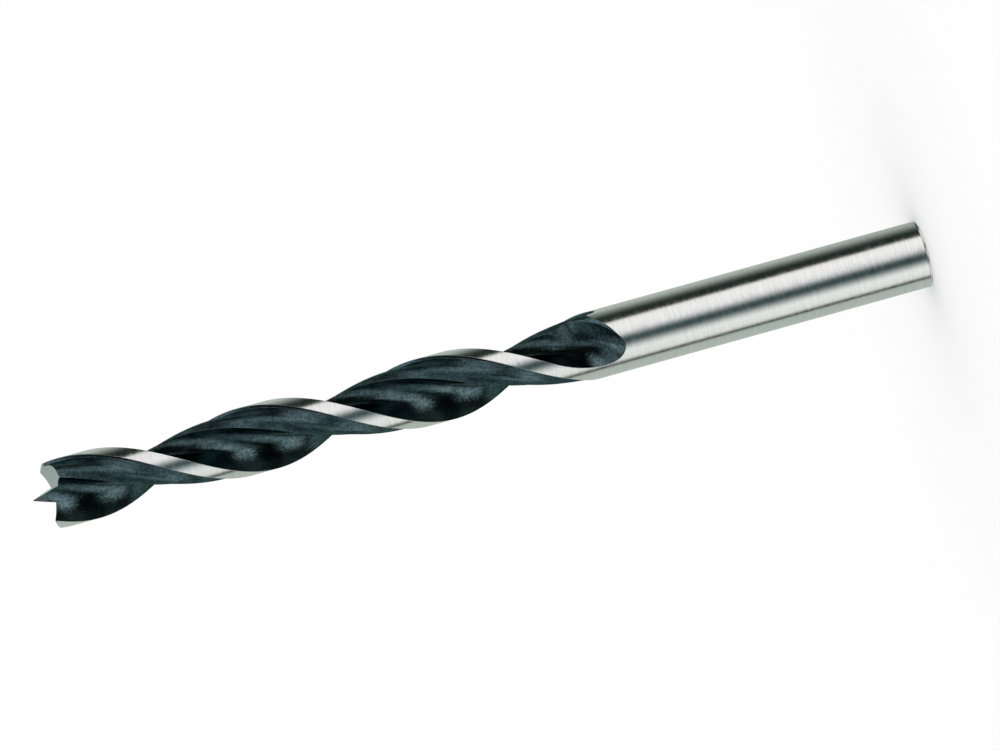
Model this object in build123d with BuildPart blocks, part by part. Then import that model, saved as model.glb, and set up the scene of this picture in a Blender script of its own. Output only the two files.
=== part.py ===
"""Brad point drill bit for wood, ground from one bar of tool steel.

The bit stands on the flat end of its shank. The origin is the centre of that end, +Z runs along the
axis to the point, and all sizes are in millimetres. The flutes are right-handed: seen from the point,
they turn anticlockwise as they rise. What is ground twice has the same shape turned half a turn.
"""

import os
from math import asin, cos, degrees, radians, sin, sqrt, tan

from build123d import *

# Bar
bit_diameter = 10.0
shank_diameter = 9.9
overall_length = 135.0
end_chamfer = 0.3

# Flutes. Sections are drawn in a frame with x along the cutting face and y pointing out of the flute
flute_length = 88.6
flute_turn_length = 53.7
cutting_face_offset = 0.7
flute_nose_radius = 2.5
heel_wall_offset = 1.16
flute_wheel_radius = 15.0
flute_lift_steps = 6

# Lean of the flute's heel wall, which starts upright and is complete this far into the run-out
flute_lean_angle = 50.0
flute_lean_length = 4.0

# Relief behind each land, down to the heel of the flute that follows it
land_angle = 25.0
land_step_depth = 0.5
heel_corner_offset = 2.95
heel_corner_height = 3.46
heel_corner_radius = 1.3
heel_slope_angle = 8.5
relief_length = 86.0
relief_full_lift = 1.2
relief_wheel_radius = 26.0
relief_lift_steps = 3

# Point, with depths measured down from its tip
spur_depth = 2.17
spur_angle = 43.0
centre_depth = 3.55
centre_flat_radius = 0.05
centre_side_angle = 16.7
centre_facet_angle = 31.0
centre_facet_depth = 2.6
flank_angle = 19.3
flank_radius = 18.0


def distance_for_lift(wheel_radius, lift):
    """Length along the bar in which a wheel that leaves on an arc of this radius rises this far."""
    return sqrt(wheel_radius**2 - (wheel_radius - lift) ** 2)


def lift_at_distance(wheel_radius, distance):
    """Rise of a wheel that leaves on an arc of this radius, this far along the bar."""
    return wheel_radius - sqrt(wheel_radius**2 - distance**2)


# Values that follow from the sizes above
bit_radius = bit_diameter / 2
shank_radius = shank_diameter / 2
turn_rate = 360 / flute_turn_length
cutter_reach = 1.3 * bit_radius
overshoot = 0.2 * bit_radius
cut_top = overall_length + overshoot
spur_height = overall_length - spur_depth

# Section of the flute, and the heights between which its wheel lifts
nose_x = flute_nose_radius - heel_wall_offset
nose_y = flute_nose_radius + cutting_face_offset
face_angle = spur_angle - degrees(asin(cutting_face_offset / bit_radius))
flute_full_lift = sqrt((bit_radius + flute_nose_radius) ** 2 - nose_x**2) - nose_y
flute_end = overall_length - flute_length
flute_start = flute_end + distance_for_lift(flute_wheel_radius, flute_full_lift)
flute_path = distance_for_lift(flute_wheel_radius, flute_full_lift + overshoot)

# Section of the relief, and the heights between which its wheel lifts
step_angle = radians(180 + spur_angle - land_angle - face_angle)
step_radius = bit_radius - land_step_depth
relief_reach = cutter_reach + overshoot
heel_end_height = heel_corner_height - heel_corner_offset * tan(radians(heel_slope_angle))
relief_end = overall_length - relief_length
relief_start = relief_end + distance_for_lift(relief_wheel_radius, relief_full_lift)
relief_path = distance_for_lift(relief_wheel_radius, relief_full_lift + overshoot)


def section_plane(height, side):
    """Plane across the bar at this height, turned with the cutting face on this side."""
    turned = (height - spur_height) * turn_rate
    return Plane.XY.offset(height).rotated((0, 0, turned + face_angle + side))


def flute_section(height, side, lift):
    """Draws what the flute's wheel takes from the bar at this height when it is lifted this far."""
    upright = max(0, 1 - (flute_start - height) / flute_lean_length)
    lean = flute_lean_angle * (1 - upright**2)
    top = cutter_reach + lift
    with BuildSketch(section_plane(height, side)) as section:
        with BuildLine():
            nose = CenterArc((nose_x, nose_y + lift), flute_nose_radius, 270, lean - 90)
            wall_foot = nose @ 1
            wall_top = wall_foot.X - (top - wall_foot.Y) * tan(radians(lean))
            Polyline(
                wall_foot,
                (wall_top, top),
                (cutter_reach, top),
                (cutter_reach, cutting_face_offset + lift),
                nose @ 0,
            )
        make_face()
    return section.sketch.face()


def relief_section(height, side, lift):
    """Draws what the relief's wheel takes from behind a land at this height when it is lifted this far."""
    step_bottom = (step_radius * cos(step_angle), step_radius * sin(step_angle) + lift)
    step_top = (relief_reach * cos(step_angle), relief_reach * sin(step_angle) + lift)
    heel_corner = (-heel_corner_offset, heel_corner_height + lift)
    heel_end = (0, heel_end_height + lift)
    top = relief_reach + lift
    with BuildSketch(section_plane(height, side)) as section:
        with BuildLine():
            FilletPolyline(step_bottom, heel_corner, heel_end, radius=heel_corner_radius)
            Polyline(heel_end, (0, top), (-relief_reach, top), step_top, step_bottom)
        make_face()
    return section.sketch.face()


def twisted_cut(section, start):
    """Twists a section from this height up past the point."""
    rise = cut_top - start
    return Solid.extrude_linear_with_rotation(section, (0, 0, start), (0, 0, rise), rise * turn_rate)


def lifted_cut(draw_section, side, start, wheel_radius, length, steps):
    """Lofts the hollow that a wheel leaves below this height as it lifts off the turning bar."""
    distances = [length * step / steps for step in range(steps + 1)]
    sections = [draw_section(start - s, side, lift_at_distance(wheel_radius, s)) for s in distances]
    return Solid.make_loft([section.outer_wire() for section in sections])


flute_cuts = []
relief_cuts = []
for side in (0, 180):
    flute_cuts.append(twisted_cut(flute_section(flute_start, side, 0), flute_start))
    flute_cuts.append(
        lifted_cut(flute_section, side, flute_start, flute_wheel_radius, flute_path, flute_lift_steps)
    )
    relief_cuts.append(twisted_cut(relief_section(relief_start, side, 0), relief_start))
    relief_cuts.append(
        lifted_cut(relief_section, side, relief_start, relief_wheel_radius, relief_path, relief_lift_steps)
    )

# Profile of the point: the side of the centre point runs down to the flank, which rises to the spur
centre_side_slope = tan(radians(centre_side_angle))
centre_half_width = centre_flat_radius + centre_depth * centre_side_slope
centre_side_top = centre_flat_radius - overshoot * centre_side_slope
flank_bottom = (centre_half_width, overall_length - centre_depth)
flank_rise = lift_at_distance(flank_radius, cutter_reach - centre_half_width)
flank_edge = (cutter_reach, overall_length - centre_depth + flank_rise)
flank_lead_in = cutter_reach * tan(radians(flank_angle))
flank_pass_length = 2 * cutter_reach / cos(radians(flank_angle))

# Profile of its facets
centre_facet_slope = tan(radians(centre_facet_angle))
centre_facet_base = overall_length - centre_facet_depth
centre_facet_bottom = centre_flat_radius + centre_facet_depth * centre_facet_slope
centre_facet_top = centre_flat_radius - overshoot * centre_facet_slope

with BuildPart() as brad_point_bit:
    # Bar: a plain shank with a chamfered end, then a body that widens slightly towards the point
    with BuildSketch(Plane.XZ):
        with BuildLine():
            Polyline(
                (0, 0),
                (shank_radius - end_chamfer, 0),
                (shank_radius, end_chamfer),
                (shank_radius, flute_end),
                (bit_radius, overall_length),
                (0, overall_length),
                close=True,
            )
        make_face()
    revolve(axis=Axis.Z)

    # Flutes and reliefs
    add(flute_cuts, mode=Mode.SUBTRACT)
    add(relief_cuts, mode=Mode.SUBTRACT)

    for side in (1, -1):
        # Flank: one straight pass of a wheel across a land, which also leaves a side of the centre point
        with BuildSketch(Plane((0, side * cutter_reach, flank_lead_in), (side, 0, 0), (0, -side, 0))):
            with BuildLine():
                flank = RadiusArc(flank_bottom, flank_edge, -flank_radius)
                Polyline(flank @ 1, (cutter_reach, cut_top), (centre_side_top, cut_top), flank @ 0)
            make_face()
        flank_pass = (0, -side, -tan(radians(flank_angle)))
        extrude(amount=flank_pass_length, dir=flank_pass, mode=Mode.SUBTRACT)

        # Facet: a flat that brings the centre point in from the thickness of the web
        with BuildSketch(Plane((0, 0, 0), (0, side, 0), (side, 0, 0))):
            with BuildLine():
                Polyline(
                    (centre_facet_top, cut_top),
                    (centre_facet_bottom, centre_facet_base),
                    (cutter_reach, centre_facet_base),
                    (cutter_reach, cut_top),
                    close=True,
                )
            make_face()
        extrude(amount=centre_half_width, both=True, mode=Mode.SUBTRACT)

brad_point_bit.part.label = "brad_point_bit"
os.makedirs("parts", exist_ok=True)
export_step(brad_point_bit.part, "parts/brad_point_bit.step")
print("volume", brad_point_bit.part.volume, "solids", len(brad_point_bit.part.solids()))
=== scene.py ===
# %% [markdown]
# # A brad point drill bit, cut the way it is ground
#
# The real bit starts as a round bar of tool steel. Grinding wheels cut two flutes into the bar while it
# turns, take metal away behind each cutting edge and shape the point. Heat treatment leaves a black skin
# in the flutes, and the last grinding makes the lands and the shank bright again.
#
# A CAD model of the bit is ready, and it is the frame for this lesson: the bit stands on the flat end of
# its shank, +Z runs along its axis to the point, and lengths are in metres. The first cell loads that
# frame and notes how much room the CAD model takes, because the dressed bit has to fill the same room.

# %% Load the frame
import math

import bmesh
import bpy
import numpy as np
from mathutils import Matrix, Vector


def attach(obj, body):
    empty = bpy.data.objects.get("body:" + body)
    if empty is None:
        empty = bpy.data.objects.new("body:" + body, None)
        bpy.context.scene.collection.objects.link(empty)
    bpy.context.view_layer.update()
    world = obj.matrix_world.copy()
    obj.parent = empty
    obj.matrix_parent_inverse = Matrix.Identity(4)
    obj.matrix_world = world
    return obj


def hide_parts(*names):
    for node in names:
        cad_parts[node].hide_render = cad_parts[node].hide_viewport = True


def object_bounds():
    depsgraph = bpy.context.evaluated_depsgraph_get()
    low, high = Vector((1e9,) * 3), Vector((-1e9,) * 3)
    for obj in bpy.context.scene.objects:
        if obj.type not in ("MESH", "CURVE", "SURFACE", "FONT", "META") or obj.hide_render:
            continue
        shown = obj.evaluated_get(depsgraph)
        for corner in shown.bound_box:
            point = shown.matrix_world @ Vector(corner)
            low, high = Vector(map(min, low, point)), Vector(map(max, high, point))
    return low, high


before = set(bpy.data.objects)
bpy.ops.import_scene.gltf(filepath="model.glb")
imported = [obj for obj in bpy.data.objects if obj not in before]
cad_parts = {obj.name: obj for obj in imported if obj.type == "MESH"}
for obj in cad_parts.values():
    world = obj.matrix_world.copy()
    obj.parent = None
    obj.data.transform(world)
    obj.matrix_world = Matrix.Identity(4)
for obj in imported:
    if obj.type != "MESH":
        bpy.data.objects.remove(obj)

cad_low, cad_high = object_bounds()
print("CAD box in mm:", [round(1000 * v, 3) for v in (*cad_low, *cad_high)])

# %% [markdown]
# ## The bar
#
# The bar is a turned shape: straight along the shank, chamfered at its end and a hair wider towards the
# point. A cylinder with a bevel would do for it. Here its profile of four corners becomes four rings of
# points, and the rings are joined with four-sided faces, because the same helper then makes every cutter
# too. A mesh that is closed at both ends can be cut by other closed meshes without leaving holes.
#
# All meshes share one list of materials. A face that a cutter leaves on the bar keeps the material of
# that cutter, so the black and the bright faces sort themselves out.

# %% Sizes of the bar in millimetres
MM = 0.001
LENGTH = round(cad_high[2] / MM, 2)
BIT_RADIUS = 5.0
SHANK_RADIUS = 4.95
END_CHAMFER = 0.3
FLUTE_LENGTH = 88.6
FLUTE_END = LENGTH - FLUTE_LENGTH
print("bar:", LENGTH, "mm long, with flutes down to", round(FLUTE_END, 2), "mm")

# %% Closed meshes from rings of points
FINISHES = ("ground_steel", "black_oxide", "ground_flank", "ground_facet", "dull_oxide")
MATERIALS = [bpy.data.materials.new(finish) for finish in FINISHES]
STEEL, OXIDE, FLANK, FACET, DULL_OXIDE = range(len(FINISHES))


def closed_mesh(name, rings, material):
    """Joins rings of points, given in millimetres, with four-sided faces and closes both ends."""
    rings = np.asarray(rings, float)
    levels, around, _ = rings.shape
    k = np.arange(around)
    following = (k + 1) % around
    faces = []
    for level in range(levels - 1):
        low = level * around
        high = low + around
        faces += np.column_stack((low + k, low + following, high + following, high + k)).tolist()
    faces.append(list(range(around))[::-1])
    faces.append([(levels - 1) * around + i for i in range(around)])
    mesh = bpy.data.meshes.new(name)
    mesh.from_pydata((rings.reshape(-1, 3) * MM).tolist(), [], faces)
    for finish in MATERIALS:
        mesh.materials.append(finish)
    mesh.polygons.foreach_set("material_index", [material] * len(mesh.polygons))
    mesh.update()
    obj = bpy.data.objects.new(name, mesh)
    bpy.context.scene.collection.objects.link(obj)
    return obj


print("finishes, in the order of the list:", ", ".join(FINISHES))

# %% Turn the bar
AROUND = 512
turn = np.linspace(0, 2 * math.pi, AROUND, endpoint=False)
profile = [
    (0.0, SHANK_RADIUS - END_CHAMFER),
    (END_CHAMFER, SHANK_RADIUS),
    (FLUTE_END, SHANK_RADIUS),
    (LENGTH, BIT_RADIUS),
]
bar_rings = [np.column_stack((r * np.cos(turn), r * np.sin(turn), np.full(AROUND, z))) for z, r in profile]
bit = closed_mesh("brad_point_bit_ground", bar_rings, STEEL)
print("bar mesh:", len(bit.data.vertices), "vertices")

# %% [markdown]
# ## The flutes
#
# A flute carries the chips out of the hole. Its wheel stands still while the bar turns past it, so the
# flute has one flat section that twists as it rises: a flat cutting face, a round nose and a heel wall.
# A Screw modifier could twist a section that never changes. Near the shank, though, the wheel lifts off
# on an arc and its hollow fades out, so here the section is a function of the height above the shank's
# end. Its x axis runs along the cutting face and y points out of the flute.
#
# Every outline has the same number of points in the same order. That lets any two be joined.

# %% Sizes of the flute in millimetres and degrees
TURN_LENGTH = 53.7
TURN_RATE = 360 / TURN_LENGTH
SPUR_DEPTH = 2.17
SPUR_HEIGHT = LENGTH - SPUR_DEPTH
SPUR_ANGLE = 43.0
FACE_OFFSET = 0.7
NOSE_RADIUS = 2.5
HEEL_WALL_OFFSET = 1.16
FLUTE_WHEEL = 15.0
LEAN_ANGLE = 50.0
LEAN_LENGTH = 4.0

REACH = 1.3 * BIT_RADIUS
OVERSHOOT = 0.2 * BIT_RADIUS
CUT_TOP = LENGTH + OVERSHOOT
NOSE_X = NOSE_RADIUS - HEEL_WALL_OFFSET
NOSE_Y = NOSE_RADIUS + FACE_OFFSET
FACE_ANGLE = SPUR_ANGLE - math.degrees(math.asin(FACE_OFFSET / BIT_RADIUS))
print("one turn of the flutes:", TURN_LENGTH, "mm, cutting face at", round(FACE_ANGLE, 2), "degrees")


# %% A wheel that lifts off on an arc
def distance_for_lift(wheel, lift):
    """Length along the bar in which a wheel that leaves on an arc of this radius rises this far."""
    return math.sqrt(wheel**2 - (wheel - lift) ** 2)


def lift_at_distance(wheel, distance):
    """Rise of that wheel this far along the bar, and nothing before it starts to leave."""
    return wheel - math.sqrt(wheel**2 - max(distance, 0) ** 2)


FLUTE_FULL_LIFT = math.sqrt((BIT_RADIUS + NOSE_RADIUS) ** 2 - NOSE_X**2) - NOSE_Y
FLUTE_START = FLUTE_END + distance_for_lift(FLUTE_WHEEL, FLUTE_FULL_LIFT)
FLUTE_LOW = FLUTE_START - distance_for_lift(FLUTE_WHEEL, FLUTE_FULL_LIFT + OVERSHOOT)
print("the wheel lifts", round(FLUTE_FULL_LIFT, 2), "mm over", round(FLUTE_START - FLUTE_END, 2), "mm")


# %% Points on arcs and lines
def on_arc(centre, radius, first, last, count):
    """Points on an arc between two angles in degrees, ends included."""
    angles = np.radians(np.linspace(first, last, count))
    return np.column_stack((centre[0] + radius * np.cos(angles), centre[1] + radius * np.sin(angles)))


def on_line(first, last, count):
    """Points on a straight line, with its first end and without its last one."""
    t = np.linspace(0, 1, count, endpoint=False)[:, None]
    return (1 - t) * np.array(first, float) + t * np.array(last, float)


print("a quarter of the nose is", round(math.pi / 2 * NOSE_RADIUS, 2), "mm long")

# %% Outline of the flute
DOWN = 270
LEFT = 180
FACE_POINTS = 22
NOSE_POINTS = 40
WALL_POINTS = 14


def flute_outline(height):
    """Cutting face, round nose and heel wall of the flute, closed far outside the bar."""
    lift = lift_at_distance(FLUTE_WHEEL, FLUTE_START - height)
    upright = min(1, max(0, 1 - (FLUTE_START - height) / LEAN_LENGTH))
    lean = LEAN_ANGLE * (1 - upright**2)
    top = REACH + lift
    floor = FACE_OFFSET + lift
    nose = on_arc((NOSE_X, NOSE_Y + lift), NOSE_RADIUS, DOWN, LEFT + lean, NOSE_POINTS)
    foot = nose[-1]
    wall_top = (foot[0] - (top - foot[1]) * math.tan(math.radians(lean)), top)
    return np.vstack(
        (
            on_line((REACH, floor), (NOSE_X, floor), FACE_POINTS),
            nose[:-1],
            on_line(foot, wall_top, WALL_POINTS),
            [wall_top],
            [(REACH, top)],
        )
    )


print("flute outline:", len(flute_outline(LENGTH)), "points")


# %% Twist an outline up the bar
SIDES = (0, 180)
RINGS = 200
FLUTE_LIFT_RINGS = 60


def twisted(name, outline, heights, side, material):
    """Stacks outlines along the bar, each turned with the flutes."""
    rings = []
    for height in heights:
        angle = math.radians((height - SPUR_HEIGHT) * TURN_RATE + FACE_ANGLE + side)
        rotate = np.array(((math.cos(angle), math.sin(angle)), (-math.sin(angle), math.cos(angle))))
        flat = outline(height) @ rotate
        rings.append(np.column_stack((flat, np.full(len(flat), height))))
    return closed_mesh(name, rings, material)


def up_the_bar(low, start, low_steps, steps):
    """Heights from the low end of a hollow to above the point, closer together where the wheel lifts."""
    return np.concatenate((np.linspace(low, start, low_steps)[:-1], np.linspace(start, CUT_TOP, steps)))


flute_heights = up_the_bar(FLUTE_LOW, FLUTE_START, FLUTE_LIFT_RINGS, RINGS)
flutes = [twisted(f"flute_{side}", flute_outline, flute_heights, side, OXIDE) for side in SIDES]
print("flute cutters:", len(flute_heights), "rings each")

# %% [markdown]
# ## The relief behind each land
#
# Only the narrow land rubs on the wall of the hole. Behind it the metal steps down, runs on to a round
# corner and drops to the heel of the next flute. This is a second hollow, ground like the flute, so it
# is made like the flute: an outline that twists, and that lifts off near the shank.

# %% Sizes of the relief in millimetres and degrees
LAND_ANGLE = 25.0
STEP_DEPTH = 0.5
CORNER = (-2.95, 3.46)
CORNER_RADIUS = 1.3
HEEL_SLOPE = 8.5
RELIEF_LENGTH = 86.0
RELIEF_WHEEL = 26.0
RELIEF_FULL_LIFT = 1.2

STEP_ANGLE = 180 + SPUR_ANGLE - LAND_ANGLE - FACE_ANGLE
STEP_RADIUS = BIT_RADIUS - STEP_DEPTH
RELIEF_REACH = REACH + OVERSHOOT
RELIEF_END = LENGTH - RELIEF_LENGTH
RELIEF_START = RELIEF_END + distance_for_lift(RELIEF_WHEEL, RELIEF_FULL_LIFT)
RELIEF_LOW = RELIEF_START - distance_for_lift(RELIEF_WHEEL, RELIEF_FULL_LIFT + OVERSHOOT)
print("land:", round(math.radians(LAND_ANGLE) * BIT_RADIUS, 2), "mm wide with a step of", STEP_DEPTH, "mm")

# %% Outline of the relief
STEP_POINTS = 6
CLEARANCE_POINTS = 14
CORNER_POINTS = 20
HEEL_POINTS = 14


def unit(vector):
    """The same direction, one unit long."""
    return vector / np.linalg.norm(vector)


def relief_outline(height):
    """Step behind the land, clearance face, round corner and heel, closed far outside the bar."""
    lift = lift_at_distance(RELIEF_WHEEL, RELIEF_START - height)
    step = np.array((math.cos(math.radians(STEP_ANGLE)), math.sin(math.radians(STEP_ANGLE))))
    step_bottom = STEP_RADIUS * step
    step_top = RELIEF_REACH * step
    corner = np.array(CORNER)
    heel = np.array((0, CORNER[1] + CORNER[0] * math.tan(math.radians(HEEL_SLOPE))))
    to_step = unit(step_bottom - corner)
    to_heel = unit(heel - corner)
    half = math.acos(np.dot(to_step, to_heel)) / 2
    centre = corner + unit(to_step + to_heel) * CORNER_RADIUS / math.sin(half)
    first = corner + to_step * CORNER_RADIUS / math.tan(half) - centre
    last = corner + to_heel * CORNER_RADIUS / math.tan(half) - centre
    first_angle = math.degrees(math.atan2(first[1], first[0]))
    last_angle = math.degrees(math.atan2(last[1], last[0]))
    rounded = on_arc(centre, CORNER_RADIUS, first_angle, last_angle, CORNER_POINTS)
    points = np.vstack(
        (
            on_line(step_top, step_bottom, STEP_POINTS),
            on_line(step_bottom, rounded[0], CLEARANCE_POINTS),
            rounded[:-1],
            on_line(rounded[-1], heel, HEEL_POINTS),
            [heel],
            [(0, RELIEF_REACH)],
            [(-RELIEF_REACH, RELIEF_REACH)],
        )
    )
    return points + (0, lift)


print("relief outline:", len(relief_outline(LENGTH)), "points")

# %% Twist the reliefs
RELIEF_LIFT_RINGS = 30
relief_heights = up_the_bar(RELIEF_LOW, RELIEF_START, RELIEF_LIFT_RINGS, RINGS)
reliefs = [twisted(f"relief_{side}", relief_outline, relief_heights, side, DULL_OXIDE) for side in SIDES]
print("relief cutters:", len(relief_heights), "rings each, from", round(RELIEF_LOW, 2), "mm up")

# %% [markdown]
# ## The point
#
# A brad point centres itself: a small spike bites first, and two spurs at the rim score the hole before
# the edges lift the chip. One straight pass of a wheel across each land makes a flank. It slopes down
# behind the cutting edge, and it is hollow along the edge, which leaves both the spur and a side of the
# spike. A second, steeper flat then thins the spike from the thickness of the web.
#
# Each pass is a profile moved along a straight line, so its cutter has only two rings.

# %% Sizes of the point in millimetres and degrees
FLANK_ANGLE = 19.3
FLANK_RADIUS = 18.0
CENTRE_DEPTH = 3.55
CENTRE_FLAT = 0.05
CENTRE_SIDE = 16.7
side_slope = math.tan(math.radians(CENTRE_SIDE))
flank_slope = math.tan(math.radians(FLANK_ANGLE))
half_width = CENTRE_FLAT + CENTRE_DEPTH * side_slope
flank_foot = LENGTH - CENTRE_DEPTH
print("spike:", CENTRE_DEPTH, "mm tall and", round(2 * half_width, 2), "mm wide at its foot")

# %% Profile of the flank
FLANK_POINTS = 48


def flank_height(x):
    """Height of the hollow flank, on a circle from the foot of the spike to the edge of the pass."""
    low = np.array((half_width, flank_foot))
    high = np.array((REACH, flank_foot + lift_at_distance(FLANK_RADIUS, REACH - half_width)))
    along = high - low
    away = unit(np.array((-along[1], along[0])))
    centre = (low + high) / 2 + away * math.sqrt(FLANK_RADIUS**2 - np.dot(along, along) / 4)
    return centre[1] - np.sqrt(FLANK_RADIUS**2 - (x - centre[0]) ** 2)


flank_x = np.linspace(half_width, REACH, FLANK_POINTS)
flank_profile = np.column_stack((flank_x, flank_height(flank_x)))
spike_side = [(REACH, CUT_TOP), (CENTRE_FLAT - OVERSHOOT * side_slope, CUT_TOP)]
flank_profile = np.vstack((flank_profile, spike_side))
flank_rise = float(flank_height(BIT_RADIUS)) - flank_foot
print("the flank rises", round(flank_rise, 2), "mm from the spike to the rim")


# %% Flank cutters
WINGS = (1, -1)


def flank_ring(side, y):
    """The flank's profile this far along its pass."""
    x, height = flank_profile.T
    return np.column_stack((side * x, np.full(len(x), side * y), height + flank_slope * y))


flanks = {
    side: closed_mesh(f"flank_{side}", [flank_ring(side, y) for y in (-REACH, REACH)], FLANK)
    for side in WINGS
}
print("flank cutters:", ", ".join(cutter.name for cutter in flanks.values()))

# %% Facet cutters
CENTRE_FACET = 31.0
CENTRE_FACET_DEPTH = 2.6
facet_slope = math.tan(math.radians(CENTRE_FACET))
facet_foot = LENGTH - CENTRE_FACET_DEPTH
facet_profile = np.array(
    (
        (CENTRE_FLAT - OVERSHOOT * facet_slope, CUT_TOP),
        (CENTRE_FLAT + CENTRE_FACET_DEPTH * facet_slope, facet_foot),
        (REACH, facet_foot),
        (REACH, CUT_TOP),
    )
)


def facet_ring(side, x):
    """The facet's profile at one end of its short pass."""
    y, height = facet_profile.T
    return np.column_stack((np.full(len(y), side * x), side * y, height))


facets = {
    side: closed_mesh(f"facet_{side}", [facet_ring(side, x) for x in (-half_width, half_width)], FACET)
    for side in WINGS
}
print("facets reach", CENTRE_FACET_DEPTH, "mm down the spike")

# %% [markdown]
# ## Take the cutters off the bar
#
# The helix where a flute meets a land would be hard to model by hand. A Boolean modifier finds it. Its
# Manifold solver is quick and exact on closed meshes with faces that point outward, so every mesh is
# turned outward first. The result is read back once, with its edges sharp where two passes of a wheel
# meet and smooth along each pass.

# %% Turn all faces outward
def outward(obj):
    """Turns all faces of a closed mesh outward."""
    bm = bmesh.new()
    bm.from_mesh(obj.data)
    bmesh.ops.recalc_face_normals(bm, faces=bm.faces)
    bm.to_mesh(obj.data)
    bm.free()


cutters = []
for flute, relief in zip(flutes, reliefs):
    cutters += [flute, relief]
for side in WINGS:
    cutters += [flanks[side], facets[side]]
for solid in (bit, *cutters):
    outward(solid)
print("cutters in order:", ", ".join(cutter.name for cutter in cutters))

# %% Subtract
SHARP_ANGLE = 22.0

for cutter in cutters:
    cut = bit.modifiers.new(cutter.name, "BOOLEAN")
    cut.operation = "DIFFERENCE"
    cut.solver = "MANIFOLD"
    cut.object = cutter
bpy.context.view_layer.update()
cut_mesh = bpy.data.meshes.new_from_object(bit.evaluated_get(bpy.context.evaluated_depsgraph_get()))
bit.modifiers.clear()
bit.data = cut_mesh
for cutter in cutters:
    bpy.data.objects.remove(cutter)
cut_mesh.polygons.foreach_set("use_smooth", [True] * len(cut_mesh.polygons))
cut_mesh.set_sharp_from_angle(angle=math.radians(SHARP_ANGLE))
finish_of_face = np.zeros(len(cut_mesh.polygons), int)
cut_mesh.polygons.foreach_get("material_index", finish_of_face)
print("bit mesh:", len(cut_mesh.vertices), "vertices,", len(cut_mesh.polygons), "faces")
print("faces per finish:", dict(zip(FINISHES, np.bincount(finish_of_face).tolist())))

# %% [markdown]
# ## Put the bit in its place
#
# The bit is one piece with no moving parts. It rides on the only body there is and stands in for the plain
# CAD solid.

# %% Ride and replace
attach(bit, "root")
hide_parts("brad_point_bit")
print("visible bit:", bit.name, "in place of brad_point_bit")

# %% [markdown]
# ## Helpers for the finishes
#
# All finishes here are made of nodes. They could be painted images, but noise in the bit's own
# coordinates has no seams and stays sharp close up. Real grinding leaves fine lines along the way the
# wheel moved, so the noise is stretched: `grain` takes how many grains fit in a metre along each axis.

# %% Materials and nodes
def shader(material):
    """The node tree of a material and its main shader."""
    material.use_nodes = True
    return material.node_tree, material.node_tree.nodes["Principled BSDF"]


def node(tree, kind, **values):
    """Adds a node and sets its sockets, or else its properties, by name."""
    new = tree.nodes.new(kind)
    for key, value in values.items():
        if key in new.inputs:
            new.inputs[key].default_value = value
        else:
            setattr(new, key, value)
    return new


print("finishes to make:", len(MATERIALS))

# %% Ranges and products
NOISE_SPAN = (0.3, 0.7)


def spread(tree, value, first, last, span=NOISE_SPAN, shape="LINEAR"):
    """Maps a value from its span to the range from first to last. Noise rarely leaves its own span."""
    ramp = node(tree, "ShaderNodeMapRange", interpolation_type=shape)
    for key, number in zip(("From Min", "From Max", "To Min", "To Max"), (*span, first, last)):
        ramp.inputs[key].default_value = number
    tree.links.new(value, ramp.inputs["Value"])
    return ramp.outputs["Result"]


def times(tree, first, second):
    """Multiplies two values."""
    product = node(tree, "ShaderNodeMath", operation="MULTIPLY")
    tree.links.new(first, product.inputs[0])
    tree.links.new(second, product.inputs[1])
    return product.outputs[0]


print("noise is read from", NOISE_SPAN[0], "to", NOISE_SPAN[1])

# %% Grain and tint
COARSE = 3
FINE = 4
COLOUR_A, COLOUR_B, MIXED_COLOUR = 6, 7, 2


def grain(tree, place, per_metre, detail):
    """Noise with this many grains in a metre along each axis."""
    stretch = node(tree, "ShaderNodeVectorMath", operation="MULTIPLY")
    stretch.inputs[1].default_value = per_metre
    tree.links.new(place, stretch.inputs[0])
    noise = node(tree, "ShaderNodeTexNoise", Scale=1.0, Detail=detail)
    tree.links.new(stretch.outputs[0], noise.inputs["Vector"])
    return noise.outputs["Fac"]


def tint(tree, factor, dark, light):
    """Mixes two colours."""
    mix = node(tree, "ShaderNodeMix", data_type="RGBA")
    mix.inputs[COLOUR_A].default_value = (*dark, 1)
    mix.inputs[COLOUR_B].default_value = (*light, 1)
    tree.links.new(factor, mix.inputs["Factor"])
    return mix.outputs[MIXED_COLOUR]


print("noise details: coarse", COARSE, "and fine", FINE)

# %% [markdown]
# Two things more are shared. `place_on_bar` is the bit's own coordinates, and `place_in_flute` is the
# same with the twist taken out, so that lines can run along the flutes. No ground edge is perfectly
# sharp either: a Bevel node rounds the normal near each edge, so that edges catch a thin line of light.

# %% Places on the bit
def place_on_bar(tree):
    """The bit's own coordinates in metres."""
    return node(tree, "ShaderNodeTexCoord").outputs["Object"]


def place_in_flute(tree):
    """The bit's own coordinates with the twist of the flutes taken out."""
    here = place_on_bar(tree)
    split = node(tree, "ShaderNodeSeparateXYZ")
    tree.links.new(here, split.inputs[0])
    angle = node(tree, "ShaderNodeMath", operation="MULTIPLY")
    angle.inputs[1].default_value = -math.radians(TURN_RATE) / MM
    tree.links.new(split.outputs["Z"], angle.inputs[0])
    untwist = node(tree, "ShaderNodeVectorRotate", rotation_type="Z_AXIS")
    tree.links.new(here, untwist.inputs["Vector"])
    tree.links.new(angle.outputs[0], untwist.inputs["Angle"])
    return untwist.outputs[0]


print("the twist taken out is", round(TURN_RATE, 3), "degrees a millimetre")

# %% Edges and bumps
EDGE_RADIUS = 0.00012
EDGE_SAMPLES = 4


def rounded_normal(tree):
    """The surface's normal with the edges rounded."""
    return node(tree, "ShaderNodeBevel", samples=EDGE_SAMPLES, Radius=EDGE_RADIUS).outputs["Normal"]


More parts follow.
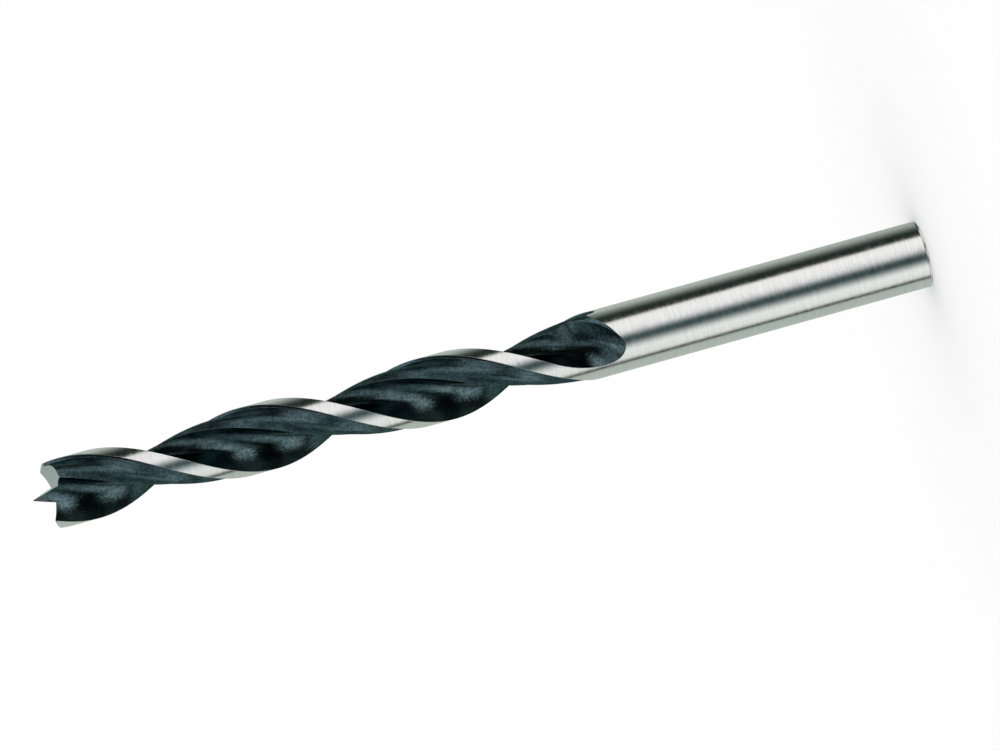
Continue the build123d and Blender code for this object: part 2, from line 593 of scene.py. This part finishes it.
def raise_surface(tree, bsdf, normal, height, depth):
    """Bumps the surface by a height from 0 to 1, times a depth in metres."""
    raised = node(tree, "ShaderNodeBump", Distance=depth)
    tree.links.new(normal, raised.inputs["Normal"])
    tree.links.new(height, raised.inputs["Height"])
    tree.links.new(raised.outputs["Normal"], bsdf.inputs["Normal"])


print("edges are rounded by", 1000 * EDGE_RADIUS, "mm in the shading")

# %% [markdown]
# ## Bright ground steel
#
# The shank and the lands are ground round and round, so they carry fine rings about a fifth of a
# millimetre apart. A plain metal with low roughness would look like a mirror. The rings change its
# colour a little, and small dents make its gloss uneven and its reflections slightly unsteady.

# %% Ground steel
STEEL_DARK = (0.72, 0.74, 0.72)
STEEL_LIGHT = (0.80, 0.80, 0.80)
STEEL_RINGS = (60, 60, 5200)
STEEL_DENTS = (900, 900, 3000)
STEEL_ROUGHNESS = (0.14, 0.24)
DENT_DEPTH = 0.000012

tree, bsdf = shader(MATERIALS[STEEL])
bsdf.inputs["Metallic"].default_value = 1
here = place_on_bar(tree)
rings = spread(tree, grain(tree, here, STEEL_RINGS, COARSE), 0, 1)
dents = grain(tree, here, STEEL_DENTS, FINE)
tree.links.new(tint(tree, rings, STEEL_DARK, STEEL_LIGHT), bsdf.inputs["Base Color"])
tree.links.new(spread(tree, dents, *STEEL_ROUGHNESS), bsdf.inputs["Roughness"])
raise_surface(tree, bsdf, rounded_normal(tree), dents, DENT_DEPTH)
print("ground steel:", len(tree.nodes), "nodes")

# %% [markdown]
# ## Black oxide in the flutes and on the heels
#
# The black skin is thin and still shines like metal, only much darker, and a little blue-green. A black
# paint with a clear coat would reflect the same at every spot. The real skin is mottled: it has fine
# specks, larger cloudy patches and streaks along the flute from the wheel below it. Their product mixes
# a nearly black and a grey metal.

# %% Marks in the oxide
STREAKS = (2600, 2600, 200)
FINE_STREAKS = (5500, 5500, 700)
SPECKS = (2600, 2600, 2600)
PATCHES = (450, 450, 450)


def oxide_marks(tree):
    """Noise for the streaks, the fine streaks, the specks and the patches of the skin."""
    here = place_on_bar(tree)
    along_flute = place_in_flute(tree)
    streaks = grain(tree, along_flute, STREAKS, COARSE)
    fine_streaks = grain(tree, along_flute, FINE_STREAKS, COARSE)
    specks = grain(tree, here, SPECKS, FINE)
    patches = grain(tree, here, PATCHES, COARSE)
    return streaks, fine_streaks, specks, patches


print("patches of the oxide:", round(1000 / PATCHES[0], 1), "mm, specks:", round(1000 / SPECKS[0], 1), "mm")

# %% Colour of the oxide
OXIDE_DARK = (0.007, 0.015, 0.0175)
STREAK_RANGE = (0.88, 1.12)
FINE_STREAK_RANGE = (0.66, 1.34)
SPECK_RANGE = (0.56, 1.44)
PATCH_RANGE = (0.35, 0.65)


def oxide_colour(tree, light, streaks, fine_streaks, specks, patches):
    """Multiplies the marks and mixes the dark colour and a light one by them."""
    broad = spread(tree, streaks, *STREAK_RANGE)
    streaked = times(tree, broad, spread(tree, fine_streaks, *FINE_STREAK_RANGE))
    speckled = times(tree, streaked, spread(tree, specks, *SPECK_RANGE))
    lightness = times(tree, speckled, spread(tree, patches, *PATCH_RANGE))
    return tint(tree, lightness, OXIDE_DARK, light)


print("the patches mix", PATCH_RANGE[0], "to", PATCH_RANGE[1], "of the light colour into the dark one")

# %% [markdown]
# Along the rounded edges of the skin a light grey is mixed into its colour. Part of it is wear from
# handling, and part of it is a painted glint, the thin line of light that an edge catches. So the rounded
# normal is compared with the true one, and the grey shows where they differ. A painted mask would do too,
# but this one follows the edges by itself, and the streaks break it up.

# %% Wear and a painted glint on the edges of the oxide
# The grey along the edges stands for wear, and it also paints the glint of light that the edges catch.
WORN_AND_GLINT_COLOUR = (0.42, 0.46, 0.46, 1)
WEAR_AND_GLINT_COSINES = (0.99, 0.90)
WEAR_AND_GLINT_STREAKS = (0.40, 0.60)


def with_worn_and_glinting_edges(tree, colour, rounded, streaks):
    """Mixes a light grey into a colour, in streaks along the rounded edges: wear and a painted glint."""
    alike = node(tree, "ShaderNodeVectorMath", operation="DOT_PRODUCT")
    tree.links.new(rounded, alike.inputs[0])
    tree.links.new(node(tree, "ShaderNodeNewGeometry").outputs["Normal"], alike.inputs[1])
    on_edge = spread(tree, alike.outputs["Value"], 0, 1, WEAR_AND_GLINT_COSINES)
    in_streak = spread(tree, streaks, 0, 1, WEAR_AND_GLINT_STREAKS)
    # Here the grey goes into the colour: wear, and a painted glint along the edges.
    worn_and_glinting = node(tree, "ShaderNodeMix", data_type="RGBA")
    worn_and_glinting.inputs[COLOUR_B].default_value = WORN_AND_GLINT_COLOUR
    tree.links.new(times(tree, on_edge, in_streak), worn_and_glinting.inputs["Factor"])
    tree.links.new(colour, worn_and_glinting.inputs[COLOUR_A])
    return worn_and_glinting.outputs[MIXED_COLOUR]


wear_and_glint_angle = math.degrees(math.acos(WEAR_AND_GLINT_COSINES[1]))
print("the skin is worn through where an edge turns by", round(wear_and_glint_angle), "degrees")

# %% [markdown]
# The finish of the steel below shows through the skin. The wheel that grinds the flutes leaves them
# smooth, and sharp highlights run along them. The reliefs are ground more coarsely, so on the heels the
# same room blurs to a soft sheen, a little lighter. The two skins differ in nothing else, so one function
# makes both of them.

# %% Gloss and bumps of the oxide
OXIDE_GRAZING_TINT = (0.35, 0.38, 0.38, 1)
FLUTE_ROUGHNESS = (0.12, 0.20)
FLUTE_LIGHT = (0.136, 0.210, 0.230)
HEEL_ROUGHNESS = (0.30, 0.40)
HEEL_LIGHT = (0.149, 0.238, 0.268)
FINE_STREAK_SHARE = 0.6
OXIDE_DEPTH = 0.000028


def black_skin(material, roughness, light):
    """Mottled black metal whose edges show wear and a painted glint, with this range of roughness and this
    light colour.
    """
    tree, bsdf = shader(material)
    bsdf.inputs["Metallic"].default_value = 1
    bsdf.inputs["Specular Tint"].default_value = OXIDE_GRAZING_TINT
    streaks, fine_streaks, specks, patches = oxide_marks(tree)
    rounded = rounded_normal(tree)
    black = oxide_colour(tree, light, streaks, fine_streaks, specks, patches)
    # The base colour carries wear and a painted glint along the edges.
    tree.links.new(with_worn_and_glinting_edges(tree, black, rounded, streaks), bsdf.inputs["Base Color"])
    tree.links.new(spread(tree, patches, *roughness), bsdf.inputs["Roughness"])
    uneven = node(tree, "ShaderNodeMath", operation="MULTIPLY_ADD")
    uneven.inputs[1].default_value = FINE_STREAK_SHARE
    tree.links.new(fine_streaks, uneven.inputs[0])
    tree.links.new(specks, uneven.inputs[2])
    raise_surface(tree, bsdf, rounded, uneven.outputs[0], OXIDE_DEPTH)
    print(material.name, len(tree.nodes), "nodes")


black_skin(MATERIALS[OXIDE], FLUTE_ROUGHNESS, FLUTE_LIGHT)
black_skin(MATERIALS[DULL_OXIDE], HEEL_ROUGHNESS, HEEL_LIGHT)

# %% [markdown]
# ## The two grinds of the point
#
# The flanks are ground straight across after the heat treatment, so they are bare, matt and pale, with
# fine scratches across the bit. The facets of the spike are given a much darker colour. Both are the same
# metal with coarse, stretched noise, so one function makes both.

# %% Flank and facet finishes
SCRATCH_ROUGHNESS = (0.32, 0.40)
SCRATCH_DEPTH = 0.000006
FLANK_SCRATCHES = (6500, 500, 500)
FLANK_COLOURS = ((0.60, 0.65, 0.62), (0.76, 0.81, 0.78))
FACET_SCRATCHES = (900, 900, 3500)
FACET_COLOURS = ((0.075, 0.090, 0.092), (0.145, 0.170, 0.172))


def scratched_metal(material, scratches, dark, light):
    """Matt metal with scratches, of which there are this many in a metre along each axis."""
    tree, bsdf = shader(material)
    bsdf.inputs["Metallic"].default_value = 1
    marks = grain(tree, place_on_bar(tree), scratches, COARSE)
    tree.links.new(tint(tree, spread(tree, marks, 0, 1), dark, light), bsdf.inputs["Base Color"])
    tree.links.new(spread(tree, marks, *SCRATCH_ROUGHNESS), bsdf.inputs["Roughness"])
    raise_surface(tree, bsdf, rounded_normal(tree), marks, SCRATCH_DEPTH)
    print(material.name, len(tree.nodes), "nodes")


scratched_metal(MATERIALS[FLANK], FLANK_SCRATCHES, *FLANK_COLOURS)
scratched_metal(MATERIALS[FACET], FACET_SCRATCHES, *FACET_COLOURS)

# %% [markdown]
# ## The floor
#
# The floor is a wide sheet of white paper. It has no gloss of its own. Reflections on the bit don't see
# it, because the panels of the studio below take its place there.

# %% Floor
FLOOR_HALF = 8.0
floor_corners = [(x * FLOOR_HALF, y * FLOOR_HALF, 0) for x, y in ((-1, -1), (1, -1), (1, 1), (-1, 1))]
floor_mesh = bpy.data.meshes.new("floor")
floor_mesh.from_pydata(floor_corners, [], [(0, 1, 2, 3)])
floor = bpy.data.objects.new("floor", floor_mesh)
bpy.context.scene.collection.objects.link(floor)
paper = bpy.data.materials.new("paper")
floor_mesh.materials.append(paper)
tree, bsdf = shader(paper)
bsdf.inputs["Base Color"].default_value = (1, 1, 1, 1)
bsdf.inputs["Roughness"].default_value = 1.0
bsdf.inputs["Specular IOR Level"].default_value = 0.0
floor.visible_glossy = False
print("floor:", 2 * FLOOR_HALF, "m square")

# %% [markdown]
# ## The studio
#
# Bright metal shows nothing but its surroundings. In an evenly white room a polished shank would turn
# white and lose its roundness. Photographers hang soft panels around such a thing and leave dark gaps
# between them: the panels become the white bands along the bit, and the gaps the dark ones.
#
# Area lamps could be the panels, but their edges would be hard and their count high. Here the world
# itself holds them: each panel is a patch of the sky between two azimuths and two elevations, with soft
# borders. Azimuth 0 is the side of the bit that the picture shows. Only reflections see the panels. All
# other light is an even white, so the paper stays white and keeps the shadow of the bit.

# %% Directions in the studio
FRONT = 89.2

world = bpy.data.worlds.new("studio")
bpy.context.scene.world = world
world.use_nodes = True
studio = world.node_tree
studio.nodes.clear()
turned = node(studio, "ShaderNodeVectorRotate", rotation_type="Z_AXIS", Angle=math.radians(-FRONT))
studio.links.new(node(studio, "ShaderNodeTexCoord").outputs["Generated"], turned.inputs["Vector"])
split = node(studio, "ShaderNodeSeparateXYZ")
studio.links.new(turned.outputs[0], split.inputs[0])
azimuth = node(studio, "ShaderNodeMath", operation="ARCTAN2")
studio.links.new(split.outputs["Y"], azimuth.inputs[0])
studio.links.new(split.outputs["X"], azimuth.inputs[1])
elevation = node(studio, "ShaderNodeMath", operation="ARCSINE")
studio.links.new(split.outputs["Z"], elevation.inputs[0])
print("azimuth 0 of the studio is", FRONT, "degrees from +X")


# %% A soft panel
def border(angle, at, width, rising):
    """Goes smoothly from 0 to 1, or back, as an angle passes a place given in degrees."""
    span = (math.radians(at - width / 2), math.radians(at + width / 2))
    first, last = (0, 1) if rising else (1, 0)
    return spread(studio, angle, first, last, span, "SMOOTHSTEP")


def panel(colour, across, across_soft, up, up_soft, lean=0.0):
    """A patch of light between two azimuths and two elevations in degrees, which may lean."""
    middle = (across[0] + across[1]) / 2
    leaned = node(studio, "ShaderNodeMath", operation="MULTIPLY_ADD")
    leaned.inputs[1].default_value = lean
    studio.links.new(elevation.outputs[0], leaned.inputs[0])
    studio.links.new(azimuth.outputs[0], leaned.inputs[2])
    wrapped = node(studio, "ShaderNodeMath", operation="WRAP")
    wrapped.inputs[1].default_value = math.radians(middle + 180)
    wrapped.inputs[2].default_value = math.radians(middle - 180)
    studio.links.new(leaned.outputs[0], wrapped.inputs[0])
    from_side = border(wrapped.outputs[0], across[0], across_soft[0], True)
    to_side = border(wrapped.outputs[0], across[1], across_soft[1], False)
    from_below = border(elevation.outputs[0], up[0], up_soft[0], True)
    to_above = border(elevation.outputs[0], up[1], up_soft[1], False)
    shape = times(studio, times(studio, from_side, to_side), times(studio, from_below, to_above))
    light = node(studio, "ShaderNodeVectorMath", operation="SCALE")
    light.inputs[0].default_value = colour
    studio.links.new(shape, light.inputs["Scale"])
    return light.outputs[0]


print("before the first panel:", len(studio.nodes), "nodes")

# %% Hang the panels
ALL_ROUND = (-190, 190)
PANELS = [
    # In front: two white bands along the shank, with a dark gap between them
    panel((1.09, 1.06, 1.07), across=(5, 60), across_soft=(30, 10), up=(-15, 4), up_soft=(10, 14), lean=0.3),
    panel((1.45, 1.42, 1.40), across=(28, 63), across_soft=(16, 14), up=(-36, -15), up_soft=(10, 10)),
    panel((0.62, 0.64, 0.64), across=(-3, 38), across_soft=(24, 22), up=(4, 34), up_soft=(14, 16)),
    panel((0.92, 0.93, 0.90), across=(-84, -33), across_soft=(16, 36), up=(-34, 6), up_soft=(10, 18)),
    panel((0.62, 0.62, 0.62), across=(-66, -42), across_soft=(14, 14), up=(-32, -16), up_soft=(8, 14)),
    panel((0.26, 0.30, 0.32), across=(-84, -4), across_soft=(30, 24), up=(6, 25), up_soft=(12, 12)),
    panel((0.03, 0.06, 0.07), across=(-60, 20), across_soft=(30, 30), up=(-12, 12), up_soft=(10, 10)),
    # Behind: grey sheets, seen along the two edges of the shank
    panel((0.50, 0.56, 0.51), across=(180, 263), across_soft=(2, 6), up=(-38, 14), up_soft=(12, 16)),
    panel((0.50, 0.56, 0.51), across=(112, 180), across_soft=(54, 2), up=(-12, 34), up_soft=(8, 10)),
    panel((0.42, 0.47, 0.46), across=(150, 210), across_soft=(30, 30), up=(28, 64), up_soft=(16, 20)),
    # Overhead
    panel((1.05, 1.09, 1.09), across=(2, 100), across_soft=(16, 20), up=(45, 95), up_soft=(12, 16)),
    panel((0.42, 0.44, 0.44), across=(26, 95), across_soft=(16, 20), up=(34, 48), up_soft=(10, 10)),
    panel((0.34, 0.38, 0.40), across=(-130, 20), across_soft=(30, 20), up=(52, 95), up_soft=(16, 20)),
    # Below: what the bit shows when it is seen from above
    panel((0.90, 0.92, 0.90), across=ALL_ROUND, across_soft=(1, 1), up=(-95, -78), up_soft=(6, 8)),
    panel((0.90, 0.92, 0.90), across=(118, 242), across_soft=(20, 20), up=(-70, -42), up_soft=(8, 12)),
    panel((0.10, 0.11, 0.10), across=(14, 84), across_soft=(20, 20), up=(-70, -44), up_soft=(8, 14)),
    panel((0.10, 0.11, 0.10), across=(-100, -42), across_soft=(20, 20), up=(-70, -44), up_soft=(8, 14)),
    panel((0.04, 0.05, 0.05), across=(-118, 118), across_soft=(20, 20), up=(-70, -50), up_soft=(8, 10)),
]
print("studio:", len(PANELS), "panels")

# %% Light the studio
GAP_COLOUR = (0.008, 0.018, 0.013, 1)

gaps = node(studio, "ShaderNodeRGB")
gaps.outputs[0].default_value = GAP_COLOUR
glow = gaps.outputs[0]
for light in PANELS:
    adding = node(studio, "ShaderNodeVectorMath", operation="ADD")
    studio.links.new(glow, adding.inputs[0])
    studio.links.new(light, adding.inputs[1])
    glow = adding.outputs[0]
seen_in_metal = node(studio, "ShaderNodeBackground")
studio.links.new(glow, seen_in_metal.inputs["Color"])
seen_elsewhere = node(studio, "ShaderNodeBackground", Color=(1, 1, 1, 1), Strength=1.0)
either = node(studio, "ShaderNodeMixShader")
studio.links.new(node(studio, "ShaderNodeLightPath").outputs["Is Glossy Ray"], either.inputs["Fac"])
studio.links.new(seen_elsewhere.outputs[0], either.inputs[1])
studio.links.new(seen_in_metal.outputs[0], either.inputs[2])
studio.links.new(either.outputs[0], node(studio, "ShaderNodeOutputWorld").inputs["Surface"])
print("studio:", len(studio.nodes), "nodes")

# %% [markdown]
# ## The camera
#
# The bit was taken from the side and from a little above, through a long lens that keeps its edges
# nearly parallel. The camera is rolled, so that a bit that stands upright lies across the picture with
# its point at the lower left. Its place is worked out from an azimuth, an elevation and a distance to a
# spot near the middle of the bit, which is easier to adjust than three coordinates.

# %% Where the camera stands
ELEVATION = 6.134
ROLL = -105.524
DISTANCE = 0.96068
AIM_HEIGHT = 0.064795
AIM_SIDEWAYS = -0.000544

az, el, roll = (math.radians(angle) for angle in (FRONT, ELEVATION, ROLL))
toward = Vector((math.cos(el) * math.cos(az), math.cos(el) * math.sin(az), math.sin(el)))
right = Vector((-math.sin(az), math.cos(az), 0))
up = toward.cross(right)
rolled_right = math.cos(roll) * right + math.sin(roll) * up
rolled_up = -math.sin(roll) * right + math.cos(roll) * up
aim = Vector((0, 0, AIM_HEIGHT)) + AIM_SIDEWAYS * right
pose = Matrix((rolled_right, rolled_up, toward)).transposed().to_4x4()
pose.translation = aim + DISTANCE * toward
print("camera at", [round(v, 3) for v in pose.translation], "m")

# %% Camera
SENSOR_WIDTH = 36
IMAGE_WIDTH = 1000
FOCAL_PIXELS = 6601.8
NEAREST = 0.01
FARTHEST = 50

camera_data = bpy.data.cameras.new("camera")
camera_data.sensor_width = SENSOR_WIDTH
camera_data.lens = FOCAL_PIXELS * SENSOR_WIDTH / IMAGE_WIDTH
camera_data.clip_start = NEAREST
camera_data.clip_end = FARTHEST
camera = bpy.data.objects.new("camera", camera_data)
bpy.context.scene.collection.objects.link(camera)
bpy.context.scene.camera = camera
camera.matrix_world = pose
print("lens:", round(camera_data.lens, 1), "mm at", DISTANCE, "m")

# %% [markdown]
# ## Finish
#
# The Standard view shows colours as they are written.

# %% Finish
bpy.context.scene.view_settings.view_transform = "Standard"
bpy.context.view_layer.update()
